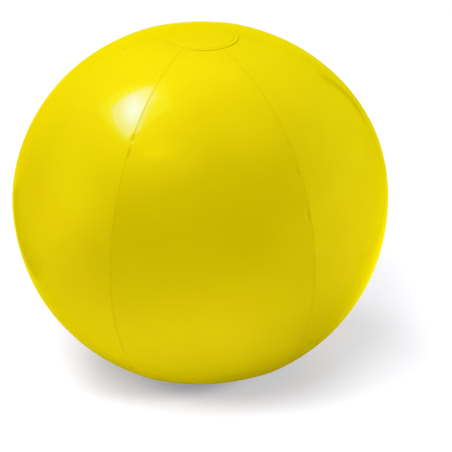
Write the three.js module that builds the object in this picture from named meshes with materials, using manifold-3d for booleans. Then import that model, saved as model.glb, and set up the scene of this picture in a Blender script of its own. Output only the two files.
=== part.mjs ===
// An inflatable beach ball: six welded film panels, two end discs and a push-in valve.
// Millimetres, +Z up along the line through both end discs, and -Y towards the front.
// The origin is the centre of the flat patch that the ball rests on.
import * as THREE from "three";
import { mergeVertices } from "three/addons/utils/BufferGeometryUtils.js";
import Module from "manifold-3d";

// Driving dimensions of the inflated skin
const EQUATOR_RADIUS = 140;
const POLE_DROP = 6.8; // how much nearer to the centre a pole is than the equator
const SEAM_RIDGE = 1.1; // seams stand this far out, and panel middles this far in
const PANELS = 6;
const PANEL_TURN = 3.65; // degrees from the front to the middle of the first panel
const FILM = 0.2;
const WELD_GAP = 0.3; // between two pieces that are welded or seated face to face
const FIN_DEPTH = 3; // the welded edge that is turned in at each seam
const DISC_RADIUS = 28;
const WELD_LAP = 5; // how far the panel ends reach under an end disc
const FOOT_RADIUS = 15; // the patch that the ball's weight presses flat

// Driving dimensions of the valve, pushed in
const VALVE_COLATITUDE = 48; // degrees from the top pole, on the middle line of the rear panel
const VALVE_HOLE_RADIUS = 10.5;
const FLANGE_RADIUS = 19;
const FLANGE_THICKNESS = 0.8;
const BEAD_WIDTH = 1.4;
const BEAD_HEIGHT = 0.6;
const SLEEVE_WALL = 0.6;
const STEM_RADIUS = 4.8;
const STEM_BORE_RADIUS = 3;
const STEM_LENGTH = 13;
const MOUTH_HEIGHT = 1.2; // the stem's mouth above the skin
const LIP_RADIUS = 5.6;
const LIP_HEIGHT = 1.2;
const ROOT_RADIUS = 6.4;
const ROOT_THICKNESS = 1.4;
const CAP_RADIUS = 6;
const CAP_THICKNESS = 1.6;
const CAP_ROUND = 0.4;
const PIN_CLEARANCE = 0.3; // round the plug's pin at the mouth
const PIN_TIP_RADIUS = 1.3;
const PIN_LENGTH = 4.8;
const STRAP_WIDTH = 5;
const STRAP_THICKNESS = 0.9;
const STRAP_LOOP = 2.1; // how far the folded strap bulges past the cap
const STRAP_ROOT_DEPTH = 3.4; // from the mouth down to the strap's root on the stem
const FLAP_RADIUS = 4.4;
const FLAP_THICKNESS = 0.5;
const FLAP_TAB_LENGTH = 1.2;
const FLAP_TAB_WIDTH = 3.6;

// Fineness of the faceted surfaces
const PANEL_COLUMNS = 10;
const PANEL_ROWS = 28;
const DISC_STEPS = 4;
const DISC_SIDES = 42;
const VALVE_SIDES = 36;
const STRAP_STEPS = 12;

const HALF_PANEL = Math.PI / PANELS;
const PANEL_END_RADIUS = DISC_RADIUS - WELD_LAP;
const SLEEVE_RADIUS = VALVE_HOLE_RADIUS - WELD_GAP;
const STEM_FOOT = MOUTH_HEIGHT - STEM_LENGTH;
const CAP_BASE = MOUTH_HEIGHT + WELD_GAP;
const REAR_PANEL = PANELS / 2 + 1;
const SOLVER_STEPS = 12;
const MERGE_DISTANCE = 1e-4;

const filmMaterial = () =>
  new THREE.MeshStandardMaterial({ color: 0xf0de08, roughness: 0.22, metalness: 0 });
const valveMaterial = () =>
  new THREE.MeshStandardMaterial({ color: 0xe9e7da, roughness: 0.4, metalness: 0 });

const wasm = await Module();
wasm.setup();

function solidOf(geometry) {
  const bare = geometry.clone();
  bare.deleteAttribute("normal");
  bare.deleteAttribute("uv");
  const merged = mergeVertices(bare, MERGE_DISTANCE);
  const vertProperties = new Float32Array(merged.attributes.position.array);
  const triVerts = new Uint32Array(merged.index.array);
  return new wasm.Manifold(new wasm.Mesh({ numProp: 3, vertProperties, triVerts }));
}

function geometryOf(solid) {
  const { vertProperties, triVerts } = solid.getMesh();
  const geometry = new THREE.BufferGeometry();
  geometry.setAttribute("position", new THREE.BufferAttribute(vertProperties, 3));
  geometry.setIndex(new THREE.BufferAttribute(triVerts, 1));
  geometry.computeVertexNormals();
  return geometry;
}

function meshOf(name, geometry, material) {
  const mesh = new THREE.Mesh(geometry, material);
  mesh.name = name;
  return mesh;
}

// A solid of revolution about Z from [radius, height] points, anticlockwise round the section.
function turned(points, sides) {
  const profile = points.map(([radius, height]) => new THREE.Vector2(radius, height));
  return new THREE.LatheGeometry(profile, sides).rotateX(Math.PI / 2);
}

// The skin's distance from the ball's centre, with azimuth counted from a panel's middle.
function skinRadius(colatitude, azimuth) {
  const drop = POLE_DROP * Math.cos(colatitude) ** 4;
  const hollow = SEAM_RIDGE * Math.cos(PANELS * azimuth) * Math.sin(colatitude) ** 2;
  return EQUATOR_RADIUS - drop - hollow;
}

// The same at the azimuth where the skin is neither ridge nor hollow.
function meanRadius(colatitude) {
  return skinRadius(colatitude, HALF_PANEL / 2);
}

function direction(colatitude, azimuth) {
  const out = Math.sin(colatitude);
  return new THREE.Vector3(out * Math.sin(azimuth), -out * Math.cos(azimuth), Math.cos(colatitude));
}

function skinPoint(colatitude, azimuth, inset) {
  return direction(colatitude, azimuth).multiplyScalar(skinRadius(colatitude, azimuth) - inset);
}

// The colatitude at which the mean skin, grown outwards, is this far from the polar axis.
function colatitudeAt(axisDistance, grown) {
  let colatitude = axisDistance / EQUATOR_RADIUS;
  for (let step = 0; step < SOLVER_STEPS; step++) {
    colatitude = Math.asin(axisDistance / (meanRadius(colatitude) + grown));
  }
  return colatitude;
}

// One closed section of a panel: its outer face, the two turned-in fins and its inner face.
function panelSection(colatitude) {
  const seamRadius = skinRadius(colatitude, HALF_PANEL);
  const edge = (radius, offset) =>
    HALF_PANEL - Math.asin(offset / (radius * Math.sin(colatitude)));
  const outerEdge = edge(seamRadius, WELD_GAP / 2);
  const innerEdge = edge(seamRadius - FILM, WELD_GAP / 2 + FILM);
  const tip = seamRadius - FIN_DEPTH;
  const tipOuter = edge(tip, WELD_GAP / 2);
  const tipInner = edge(tip, WELD_GAP / 2 + FILM);
  const at = (azimuth, radius) => direction(colatitude, azimuth).multiplyScalar(radius);
  const section = [];
  for (let column = 0; column <= PANEL_COLUMNS; column++) {
    const azimuth = THREE.MathUtils.lerp(-outerEdge, outerEdge, column / PANEL_COLUMNS);
    section.push(skinPoint(colatitude, azimuth, 0));
  }
  section.push(at(tipOuter, tip), at(tipInner, tip));
  for (let column = 0; column <= PANEL_COLUMNS; column++) {
    const azimuth = THREE.MathUtils.lerp(innerEdge, -innerEdge, column / PANEL_COLUMNS);
    section.push(skinPoint(colatitude, azimuth, FILM));
  }
  section.push(at(-tipInner, tip), at(-tipOuter, tip));
  return section;
}

// The four-cornered faces that close a panel's end, in the section's own numbering.
function panelEndFaces() {
  const innerFirst = PANEL_COLUMNS + 3;
  const innerLast = innerFirst + PANEL_COLUMNS;
  const faces = [];
  for (let column = 0; column < PANEL_COLUMNS; column++) {
    faces.push([column, column + 1, innerLast - column - 1, innerLast - column]);
  }
  faces.push([PANEL_COLUMNS, PANEL_COLUMNS + 1, PANEL_COLUMNS + 2, innerFirst]);
  faces.push([0, innerLast, innerLast + 1, innerLast + 2]);
  return faces;
}

// A panel with its middle line towards the front, about the ball's centre.
function panelGeometry() {
  const first = colatitudeAt(PANEL_END_RADIUS, 0);
  const sections = [];
  for (let row = 0; row <= PANEL_ROWS; row++) {
    sections.push(panelSection(THREE.MathUtils.lerp(first, Math.PI - first, row / PANEL_ROWS)));
  }
  const round = sections[0].length;
  const index = [];
  const quad = (a, b, c, d) => index.push(a, b, c, a, c, d);
  for (let row = 0; row < PANEL_ROWS; row++) {
    for (let k = 0; k < round; k++) {
      const next = (k + 1) % round;
      quad(row * round + k, (row + 1) * round + k, (row + 1) * round + next, row * round + next);
    }
  }
  const last = PANEL_ROWS * round;
  for (const [a, b, c, d] of panelEndFaces()) {
    quad(a, b, c, d);
    quad(last + d, last + c, last + b, last + a);
  }
  const geometry = new THREE.BufferGeometry().setFromPoints(sections.flat());
  geometry.setIndex(index);
  geometry.computeVertexNormals();
  return geometry;
}

// An end disc about the ball's centre, facing up. Inside flatRadius it is pressed flat.
function discGeometry(flatRadius) {
  const outset = WELD_GAP + FILM;
  const rim = colatitudeAt(DISC_RADIUS, outset);
  const flatEnd = colatitudeAt(flatRadius, outset);
  const inner = [];
  const outer = [];
  for (let step = 0; step <= DISC_STEPS; step++) {
    const colatitude = THREE.MathUtils.lerp(flatEnd, rim, step / DISC_STEPS);
    const radius = meanRadius(colatitude) + outset;
    const height = radius * Math.cos(colatitude);
    outer.push([radius * Math.sin(colatitude), height]);
    inner.push([radius * Math.sin(colatitude), height - FILM]);
  }
  if (flatRadius > 0) {
    outer.unshift([0, outer[0][1]]);
    inner.unshift([0, inner[0][1]]);
  }
  return turned([...inner, ...outer.reverse()], DISC_SIDES);
}

// The height of the ball's centre above the flat of its foot.
function centreHeight() {
  const outset = WELD_GAP + FILM;
  const flatEnd = colatitudeAt(FOOT_RADIUS, outset);
  return (meanRadius(flatEnd) + outset) * Math.cos(flatEnd);
}

// The valve's own frame on a panel: Z out of the skin, X down the panel's middle line.
function valveFrame() {
  const colatitude = THREE.MathUtils.degToRad(VALVE_COLATITUDE);
  const step = 1e-3;
  const rise = skinRadius(colatitude + step, 0) - skinRadius(colatitude - step, 0);
  const lean = Math.atan(rise / (2 * step) / skinRadius(colatitude, 0));
  const out = direction(colatitude - lean, 0);
  const down = direction(colatitude - lean + Math.PI / 2, 0);
  const across = new THREE.Vector3().crossVectors(out, down);
  const frame = new THREE.Matrix4().makeBasis(down, across, out);
  return frame.setPosition(skinPoint(colatitude, 0, 0));
}

// How far the skin is above the valve's base plane at x, y, which is negative off the centre.
function skinHeight(frame, x, y) {
  const point = new THREE.Vector3();
  let height = 0;
  for (let step = 0; step < SOLVER_STEPS; step++) {
    point.set(x, y, height).applyMatrix4(frame);
    const colatitude = Math.acos(point.z / point.length());
    const azimuth = Math.atan2(point.x, -point.y);
    height += skinRadius(colatitude, azimuth) - point.length();
  }
  return height;
}

// Lays a flat piece of the valve on the curved skin.
function draped(geometry, frame) {
  const position = geometry.attributes.position;
  for (let i = 0; i < position.count; i++) {
    const lift = skinHeight(frame, position.getX(i), position.getY(i));
    position.setZ(i, position.getZ(i) + lift);
  }
  geometry.computeVertexNormals();
  return geometry;
}

function rearPanelGeometry(frame) {
  const cutterLength = 2 * STEM_LENGTH;
  const cutter = new THREE.CylinderGeometry(
    VALVE_HOLE_RADIUS,
    VALVE_HOLE_RADIUS,
    cutterLength,
    VALVE_SIDES,
  );
  cutter.rotateX(Math.PI / 2).applyMatrix4(frame);
  return geometryOf(solidOf(panelGeometry()).subtract(solidOf(cutter)));
}

function flangeGeometry(frame) {
  const base = WELD_GAP;
  const top = base + FLANGE_THICKNESS;
  const beadEnd = VALVE_HOLE_RADIUS + BEAD_WIDTH;
  const middle = (beadEnd + FLANGE_RADIUS) / 2;
  const profile = [
    [VALVE_HOLE_RADIUS, base],
    [middle, base],
    [FLANGE_RADIUS, base],
    [FLANGE_RADIUS, base + FLANGE_THICKNESS / 2],
    [FLANGE_RADIUS - FLANGE_THICKNESS, top],
    [middle, top],
    [beadEnd, top],
    [beadEnd - BEAD_WIDTH / 4, top + BEAD_HEIGHT],
    [VALVE_HOLE_RADIUS + BEAD_WIDTH / 4, top + BEAD_HEIGHT],
    [VALVE_HOLE_RADIUS, top],
    [VALVE_HOLE_RADIUS, base],
  ];
  return draped(turned(profile, VALVE_SIDES), frame);
}

// The thin collar that lets the stem roll in and out, folded in from the flange to the stem's root.
function sleeveGeometry() {
  const top = WELD_GAP + FLANGE_THICKNESS / 2;
  const end = ROOT_RADIUS + WELD_GAP;
  const shoulder = (top + STEM_FOOT) / 2;
  const waist = (SLEEVE_RADIUS - SLEEVE_WALL + end) / 2 + SLEEVE_WALL;
  return turned(
    [
      [end, STEM_FOOT],
      [end + SLEEVE_WALL, STEM_FOOT],
      [waist + SLEEVE_WALL, shoulder],
      [SLEEVE_RADIUS, top],
      [SLEEVE_RADIUS - SLEEVE_WALL, top],
      [waist, shoulder],
      [end, STEM_FOOT],
    ],
    VALVE_SIDES,
  );
}

function stemGeometry() {
  const round = (LIP_RADIUS - STEM_RADIUS) / 2;
  return turned(
    [
      [STEM_BORE_RADIUS, STEM_FOOT],
      [ROOT_RADIUS, STEM_FOOT],
      [ROOT_RADIUS, STEM_FOOT + ROOT_THICKNESS],
      [STEM_RADIUS, STEM_FOOT + ROOT_THICKNESS],
      [STEM_RADIUS, MOUTH_HEIGHT - LIP_HEIGHT],
      [LIP_RADIUS, MOUTH_HEIGHT - LIP_HEIGHT + round],
      [LIP_RADIUS, MOUTH_HEIGHT - round],
      [LIP_RADIUS - round, MOUTH_HEIGHT],
      [STEM_BORE_RADIUS, MOUTH_HEIGHT],
      [STEM_BORE_RADIUS, STEM_FOOT],
    ],
    VALVE_SIDES,
  );
}

function plugGeometry() {
  const top = CAP_BASE + CAP_THICKNESS;
  return turned(
    [
      [0, CAP_BASE - PIN_LENGTH],
      [PIN_TIP_RADIUS - CAP_ROUND, CAP_BASE - PIN_LENGTH],
      [PIN_TIP_RADIUS, CAP_BASE - PIN_LENGTH + CAP_ROUND],
      [STEM_BORE_RADIUS - PIN_CLEARANCE, CAP_BASE],
      [CAP_RADIUS - CAP_ROUND, CAP_BASE],
      [CAP_RADIUS, CAP_BASE + CAP_ROUND],
      [CAP_RADIUS, top - CAP_ROUND],
      [CAP_RADIUS - CAP_ROUND, top],
      [0, top],
    ],
    VALVE_SIDES,
  );
}

// The folded strap: from the cap's edge out in a loop, and back in to the stem below its lip.
function strapGeometry() {
  const capSide = CAP_RADIUS + WELD_GAP;
  const stemSide = STEM_RADIUS + WELD_GAP;
  const capHeight = CAP_BASE + CAP_THICKNESS / 2;
  const rootHeight = MOUTH_HEIGHT - STRAP_ROOT_DEPTH;
  const loopEnd = CAP_RADIUS + STRAP_LOOP;
  const path = new THREE.CatmullRomCurve3([
    new THREE.Vector3(capSide, capHeight, 0),
    new THREE.Vector3(loopEnd - STRAP_THICKNESS / 2, capHeight - STRAP_THICKNESS / 3, 0),
    new THREE.Vector3(loopEnd, (capHeight + rootHeight) / 2 + STRAP_THICKNESS, 0),
    new THREE.Vector3(loopEnd - STRAP_THICKNESS, (capHeight + rootHeight) / 2 - STRAP_THICKNESS, 0),
    new THREE.Vector3(stemSide, rootHeight, 0),
  ]);
  const near = [];
  const far = [];
  for (let step = 0; step <= STRAP_STEPS; step++) {
    const point = path.getPoint(step / STRAP_STEPS);
    const tangent = path.getTangent(step / STRAP_STEPS);
    const side = new THREE.Vector2(-tangent.y, tangent.x).multiplyScalar(STRAP_THICKNESS / 2);
    near.push(new THREE.Vector2(point.x, point.y).sub(side));
    far.push(new THREE.Vector2(point.x, point.y).add(side));
  }
  const outline = new THREE.Shape([...near, ...far.reverse()]);
  const geometry = new THREE.ExtrudeGeometry(outline, { depth: STRAP_WIDTH, bevelEnabled: false });
  return geometry.translate(0, 0, -STRAP_WIDTH / 2).rotateX(Math.PI / 2);
}

// The flap over the stem's inner end, with the tab that it hangs by on the side away from the strap.
function flapGeometry() {
  const top = STEM_FOOT - WELD_GAP;
  const outline = new THREE.Shape();
  const half = Math.asin(FLAP_TAB_WIDTH / 2 / FLAP_RADIUS);
  const tabEnd = -FLAP_RADIUS * Math.cos(half) - FLAP_TAB_LENGTH;
  outline.moveTo(tabEnd, -FLAP_TAB_WIDTH / 2);
  outline.absarc(0, 0, FLAP_RADIUS, Math.PI + half, 3 * Math.PI - half, false);
  outline.lineTo(tabEnd, FLAP_TAB_WIDTH / 2);
  const flap = new THREE.ExtrudeGeometry(outline, {
    depth: FLAP_THICKNESS,
    bevelEnabled: false,
    curveSegments: VALVE_SIDES,
  });
  return flap.translate(0, 0, top - FLAP_THICKNESS);
}

function valveGroup(frame) {
  const group = new THREE.Group();
  group.applyMatrix4(frame);
  group.add(
    meshOf("valve_flange", flangeGeometry(frame), valveMaterial()),
    meshOf("valve_sleeve", sleeveGeometry(), valveMaterial()),
    meshOf("valve_stem", stemGeometry(), valveMaterial()),
    meshOf("valve_plug", plugGeometry(), valveMaterial()),
    meshOf("plug_strap", strapGeometry(), valveMaterial()),
    meshOf("check_flap", flapGeometry(), filmMaterial()),
  );
  return group;
}

function beachBall() {
  const ball = new THREE.Group();
  const centre = new THREE.Group();
  centre.position.z = centreHeight();
  ball.add(centre);
  const frame = valveFrame();
  for (let number = 1; number <= PANELS; number++) {
    const turn = new THREE.Group();
    turn.rotation.z = THREE.MathUtils.degToRad(PANEL_TURN) + 2 * HALF_PANEL * (number - 1);
    const rear = number === REAR_PANEL;
    const geometry = rear ? rearPanelGeometry(frame) : panelGeometry();
    turn.add(meshOf("gore_" + number, geometry, filmMaterial()));
    if (rear) turn.add(valveGroup(frame));
    centre.add(turn);
  }
  centre.add(meshOf("top_disc", discGeometry(0), filmMaterial()));
  const bottom = meshOf("bottom_disc", discGeometry(FOOT_RADIUS), filmMaterial());
  bottom.rotation.x = Math.PI;
  centre.add(bottom);
  return ball;
}

export default beachBall();
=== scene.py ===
"""An inflated beach ball of six welded film panels, two end discs and a push-in valve.

Shapes are worked out in millimetres, as in the CAD model, and placed in the scene in metres.
"""
import math

import bmesh
import bpy
import numpy as np
from mathutils import Matrix, Vector


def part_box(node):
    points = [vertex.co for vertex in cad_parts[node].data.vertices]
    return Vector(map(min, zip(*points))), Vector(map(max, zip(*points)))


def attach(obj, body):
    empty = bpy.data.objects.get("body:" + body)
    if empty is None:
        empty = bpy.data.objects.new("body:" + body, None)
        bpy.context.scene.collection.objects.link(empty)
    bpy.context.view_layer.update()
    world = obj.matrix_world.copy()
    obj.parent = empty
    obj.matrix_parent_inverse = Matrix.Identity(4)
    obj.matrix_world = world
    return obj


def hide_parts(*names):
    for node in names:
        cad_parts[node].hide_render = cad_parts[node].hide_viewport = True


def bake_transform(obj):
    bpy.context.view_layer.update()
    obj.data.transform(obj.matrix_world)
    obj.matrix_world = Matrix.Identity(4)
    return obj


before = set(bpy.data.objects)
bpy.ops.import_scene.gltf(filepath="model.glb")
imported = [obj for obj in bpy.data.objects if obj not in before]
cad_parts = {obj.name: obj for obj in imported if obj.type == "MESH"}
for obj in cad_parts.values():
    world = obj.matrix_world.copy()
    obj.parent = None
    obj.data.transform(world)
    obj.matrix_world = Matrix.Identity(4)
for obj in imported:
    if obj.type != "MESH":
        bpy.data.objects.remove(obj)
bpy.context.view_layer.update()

MM = 0.001

# The inflated skin, as in the CAD model
EQUATOR_RADIUS = 140.0
POLE_DROP = 6.8
SEAM_RIDGE = 1.1
PANELS = 6
PANEL_TURN = math.radians(3.65)
HALF_PANEL = math.pi / PANELS
FILM = 0.2
DISC_RADIUS = 28.0
PANEL_END_RADIUS = 23.0
CAD_DISC_RISE = 0.5

# The welded seam between two panels: the fold into its fin, how far and how wide painted shade deepens its
# colour along the seam and in its puckers' creases, and how far and how wide its gloss is dulled
FOLD_RADIUS = 0.1
FOLD_GAP = 0.01
FIN_DEPTH = 3.0
FOLD_STEPS = 4
SEAM_PAINTED_SHADE = 0.4
SEAM_PAINTED_SHADE_WIDTH = 0.5
CREASE_PAINTED_SHADE = 2.2
CREASE_SHARE = 0.7
WELD_DULLNESS = 0.45
WELD_WIDTH = 0.8

# Puckers beside the seams that the photo shows: seam, side (-1 is the panel before the seam),
# colatitude in degrees, distance from the seam, half length along it, half width and depth
SEEN_PUCKERS = (
    (5, 1, 48.6, 0.4, 2.1, 0.9, 0.45),
    (5, -1, 48.6, 0.3, 2.4, 0.8, 0.40),
    (5, 1, 53.2, 1.1, 2.6, 1.1, 0.50),
    (0, -1, 51.4, 1.1, 1.6, 0.9, 0.25),
    (0, -1, 60.0, 1.3, 1.8, 1.2, 0.40),
    (0, -1, 72.4, 1.6, 3.4, 1.2, 0.40),
    (0, -1, 97.5, 2.6, 5.0, 0.9, -0.22),
)
# The sunk puckers, whose creases get painted shade
SHADED_CREASES = tuple(pucker for pucker in SEEN_PUCKERS if pucker[-1] > 0)

# Puckers at random: the seams that have seen ones get fewer and fainter ones
SEEN_SEAMS = (0, 5)
SEEN_SEAM_COUNT = 7
SEEN_SEAM_DEPTHS = (0.02, 0.06)
OTHER_SEAM_COUNT = 13
OTHER_SEAM_DEPTHS = (0.06, 0.22)
PUCKER_COLATITUDES = (22, 158)
PUCKER_DISTANCES = (0.8, 2.4)
PUCKER_LENGTHS = (1.3, 3.2)
PUCKER_WIDTHS = (0.8, 1.5)

# Fine gathers along every seam
GATHER_HEIGHT = 0.012
GATHER_REACH = 3.0
GATHER_PITCHES = (2.9, 4.7, 1.9)

# The film's gentle unevenness: each wave's height, its rates round the ball and from pole to pole,
# and its phase. The first wave comes and goes from pole to pole.
SLACK_WAVES = ((0.10, 7, 3, 0.4), (0.07, 11, -8, 2.0), (0.05, 5, 13, 0.7))
SLACK_BEATS = 5
SLACK_BEAT_PHASE = 1.1

# The panels' mesh: its rows, finer round the discs' rims, and its columns beside and between seams
ROWS_UNDER_DISC = 4
ROW_PITCH = 1.9
FINE_PITCH = 0.35
FINE_INSIDE_RIM = 1.2
FINE_OUTSIDE_RIM = 2.4
EDGE_DISTANCES = (0.5, 0.8, 1.2, 1.7, 2.3, 3.0, 4.0, 5.5)
MIDDLE_COLUMNS = 30

# The end discs and the weld that joins them to the panels. Waves are height and count round the disc.
DISC_LIFT = 0.27
DISC_SHRINK = 0.2
TOP_DISC_SHIFT = 0.6
RIM_WAVES = ((0.18, 3), (0.12, 7))
RIM_BEAD = 0.13
RIM_BEAD_AT = 26.7
RIM_BEAD_WIDTH = 0.7
RIM_FALL = 0.2
RIM_FALL_WIDTH = 0.7
PRESS_WAVES = ((0.3, 2), (0.2, 9))
WELD_LINE_RADIUS = 24.8
WELD_LINE_DEPTH = 0.24
WELD_LINE_WIDTH = 0.5
SECOND_LINE_TURN = math.radians(20)
SECOND_LINE_OFFSET = 1.2
SECOND_LINE_DEPTH = 0.12
SECOND_LINE_WIDTH = 0.3
DOME_RADIUS = 24.2
DOME_RISE = 0.5
SHOULDER_OFFSET = 0.4
SHOULDER_DEPTH = 0.04
SHOULDER_WIDTH = 0.5
# Painted shade: a dark line at the disc's rim and a fainter one on its weld line, their widths and the weld
# line's share
RIM_SHADE_WIDTH = 0.4
LINE_SHADE = 0.8
LINE_SHADE_WIDTH = 0.35
DISC_PHASES = 6

# The discs' mesh: points on a ring, and its rings from the middle to the rim
DISC_SIDES = 210
INNER_RINGS_END = 21
INNER_RINGS = 12
MIDDLE_RINGS = (21.6, 24.2, 0.6)
RIM_RINGS_START = 24.4
RIM_RINGS_STOP = 0.05
RIM_RING_PITCH = 0.22

# The valve, in its own frame: Z out of the skin, X down the panel's middle line
VALVE_PANEL = PANELS // 2
VALVE_COLATITUDE = math.radians(48)
VALVE_SIDES = 96
VALVE_HOLE_RADIUS = 10.5
HOLE_PLAY = 0.4
CUTTER_REACH = 12
CORNER_SHARE = 0.45
ROUNDING_STEPS = 4

# The flange: its bead round the hole, its pressed weld grooves and its sloping edge
FLANGE_RADIUS = 19.0
FLANGE_THICKNESS = 0.8
FLANGE_BASE = 0.05
FLANGE_UNDERSIDE = 15
FLANGE_SLOPE = 0.9
FLANGE_EDGE = 0.25
FLANGE_ROUNDING = 0.22
BEAD_HEIGHT = 0.8
BEAD_TOP_RADIUS = 12.1
BEAD_FOOT_RADIUS = 12.5
GROOVES = 4
FIRST_GROOVE = 13.6
GROOVE_PITCH = 1.3
GROOVE_HALF_WIDTH = 0.35
GROOVE_DEPTH = 0.28

# The sleeve's outer face from top to foot, its wall, and its inner face's foot
SLEEVE_FACE = (
    (10.35, 0.9), (10.2, -0.4), (9.7, -3.4), (9.1, -6.6), (8.2, -9.6), (7.2, -11.4), (6.3, -11.8),
)
SLEEVE_WALL = 0.55
SLEEVE_WALL_RISE = 0.15
SLEEVE_INNER_FOOT = (6.3, -11.2)
SLEEVE_ROUNDING = 0.4

# The stem's wall: a flange at its foot, a small rib half way, and a lip at its mouth
STEM_BORE = 3.0
STEM_FOOT = -11.8
MOUTH_HEIGHT = 1.2
STEM_PROFILE = (
    (STEM_BORE, STEM_FOOT), (6.4, STEM_FOOT), (6.4, STEM_FOOT + 1.4), (5.0, STEM_FOOT + 1.7),
    (4.8, -7.4), (5.15, -7.1), (5.15, -6.5), (4.8, -6.2), (4.8, -0.2), (5.6, 0.2),
    (5.6, MOUTH_HEIGHT - 0.2), (5.3, MOUTH_HEIGHT), (3.4, MOUTH_HEIGHT), (STEM_BORE, MOUTH_HEIGHT - 0.4),
)
STEM_ROUNDING = 0.25

# The plug: a tapered pin with a small bead, and a cap with a dished face and a gripping rim
CAP_BASE = 1.5
CAP_THICKNESS = 1.6
CAP_TOP = CAP_BASE + CAP_THICKNESS
PLUG_PROFILE = (
    (0, CAP_BASE - 4.8), (1.0, CAP_BASE - 4.8), (1.3, CAP_BASE - 4.4), (2.15, CAP_BASE - 2.0),
    (2.35, CAP_BASE - 1.7), (2.35, CAP_BASE - 1.3), (2.5, CAP_BASE - 1.0), (2.7, CAP_BASE),
    (5.6, CAP_BASE), (6.0, CAP_BASE + 0.4), (6.0, CAP_TOP - 0.35), (5.7, CAP_TOP), (4.7, CAP_TOP),
    (4.2, CAP_TOP - 0.35), (0, CAP_TOP - 0.45),
)
PLUG_ROUNDING = 0.22

# The strap's middle line, from the cap's edge to the stem below its lip
STRAP_ROUTE = ((6.1, 2.25), (7.65, 2.0), (8.1, 0.96), (7.2, -0.85), (4.95, -2.2))
STRAP_STEPS = 9
STRAP_WIDTH = 5.0
STRAP_THICKNESS = 0.9
STRAP_ROUNDING = 0.3
STRAP_ROUNDING_STEPS = 3

# The check flap under the stem's foot
FLAP_RADIUS = 4.4
FLAP_SIDES = 64
FLAP_TAB_WIDTH = 3.6
FLAP_TAB_END = -5.2
FLAP_LOW = -12.6
FLAP_HIGH = -12.1
FLAP_ROUNDING = 0.15
FLAP_BEND = 0.3 * FLAP_ROUNDING

# Yellow film: a clear gloss over a dense pigment. A noise is a scale per metre, detail and roughness.
FILM_YELLOW = (0.84, 0.668, 0.0006)
# A deeper yellow, both for random clouds in the film and for painted shade
FILM_DEEP_TONE_AND_SHADE = (0.72, 0.55, 0.0005)
FILM_CLOUDS = 0.3
FILM_CLOUD_NOISE = (14, 4, 0.5)
FILM_CLOUD_EDGES = (0.35, 0.65)
FILM_ROUGHNESS = (0.11, 0.15)
FILM_HAZE_NOISE = (60, 5, 0.6)
FILM_HAZE_EDGES = (0.3, 0.7)
FILM_WELD_ROUGHNESS = 0.35
FILM_TINTED_GLOSS = 0.18
FILM_COAT = 0.20
FILM_COAT_FADE = (0.30, 0.70)
FILM_COAT_ROUGHNESS = 0.08
FILM_GRAIN = 0.02
FILM_GRAIN_NOISE = (700, 2, 0.5)

# The valve's milky vinyl and the flap's clear one. Scales are of the clouds, the haze and the grain.
VALVE_COLOURS = ((0.80, 0.79, 0.72), (0.74, 0.72, 0.62))
VALVE_ROUGHNESS = (0.28, 0.42)
VALVE_SCALES = (220, 500, 1500)
VALVE_GRAIN = 0.03
VALVE_SPECULAR = 0.25
VALVE_SUBSURFACE = 0.4
VALVE_SCATTER = (1.0, 0.85, 0.5)
VALVE_SCATTER_DEPTH = 1.2
FLAP_COLOURS = ((0.78, 0.76, 0.68), (0.70, 0.68, 0.58))
FLAP_ROUGHNESS = (0.18, 0.3)
FLAP_SCALES = (300, 600, 1200)
FLAP_GRAIN = 0.02

# The photograph's view: 452 pixels square
IMAGE_SIZE = 452
FOCAL_PIXELS = 1769.0
VIEW_DISTANCE = 1.3286
VIEW_ELEVATION = math.radians(25.3)
VIEW_ROLL = math.radians(-0.5)
BALL_AT_PIXEL = (201.1, 201.9)
SENSOR_WIDTH = 36
CLIP_START = 0.05

# The room's even light on the ball
WHITE = (1, 1, 1)
AMBIENT = 0.445

# Glows that the film mirrors: azimuth, elevation and width in degrees, and strength
GLOSS_COLOUR = (0.95, 1.05, 0.15)
GLOSS_LOBES = (
    (15, -30, 45, 2.2),
    (47, -49, 25, 4.8),
    (90, -25, 45, 1.85),
    (165, -45, 26, 2.0),
    (185, -32, 20, 0.3),
    (210, -38, 22, 0.3),
    (240, -60, 30, 3.75),
    (300, -45, 26, 2.0),
    (330, -40, 22, 3.6),
    (270, 0, 26, 1.12),
    (330, 10, 26, 0.7),
    (240, 60, 26, 0.78),
    (315, 45, 45, 1.32),
    (45, 30, 45, 1.0),
    (0, 70, 40, 0.66),
    (122, 62, 17, 0.5),
)

# The floor: the light that it sends to the ball, and how the camera and the ball's gloss see it.
# Lengths are in metres.
FLOOR_SIZE = 12
FLOOR_BOUNCE = 0.25
FLOOR_TINT = (1.0, 1.006, 1.045)
FLOOR_SHADED = 0.42
FLOOR_LIT = 0.25
FLOOR_WHITE_FROM = 0.6
FLOOR_WHITE_AT = 1.0
# A painted cool glow on the floor near the ball: its colour, strength and reach in metres
FLOOR_COOL = (0.0, 0.1, 1.0)
FLOOR_COOLING = 0.045
FLOOR_COOLING_REACH = 0.22
FLOOR_GLOSS_COLOUR = (0.97, 0.97, 0.15)
MIRRORED_SHADED = 0.2
UNDER_BALL = 0.158
UNDER_BALL_REACH = 0.075

# The softbox that the ball mirrors at its upper left, with its brighter inner cloth. It lies towards
# an azimuth and elevation in degrees, and its lengths are in metres.
SOFTBOX_TOWARDS = (281.5, 59.5)
SOFTBOX_DISTANCE = 1.3
SOFTBOX_DEPTH = 0.02
SOFTBOX = ((-0.27, -0.47), (-0.42, -0.22), (-0.42, 0.33), (0.10, 0.46), (0.48, 0.10), (0.41, -0.26))
SOFTBOX_TINT = (0.0, 0.45, 1.0)
SOFTBOX_GLOW = 1.2
CLOTH_TINT = (0.0, 0.016, 1.0)
INNER_CLOTH = (
    (0.06, -0.30), (-0.17, -0.31), (-0.28, -0.15), (-0.37, 0.11),
    (-0.14, 0.30), (0.14, 0.25), (0.49, 0.12), (0.36, -0.20),
)
INNER_GLOW = 14.0
TUBE_GLOW = 64.0
TUBE_AT = (-0.02, -0.05)
TUBE_REACH = (0.23, 0.12)

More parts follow.
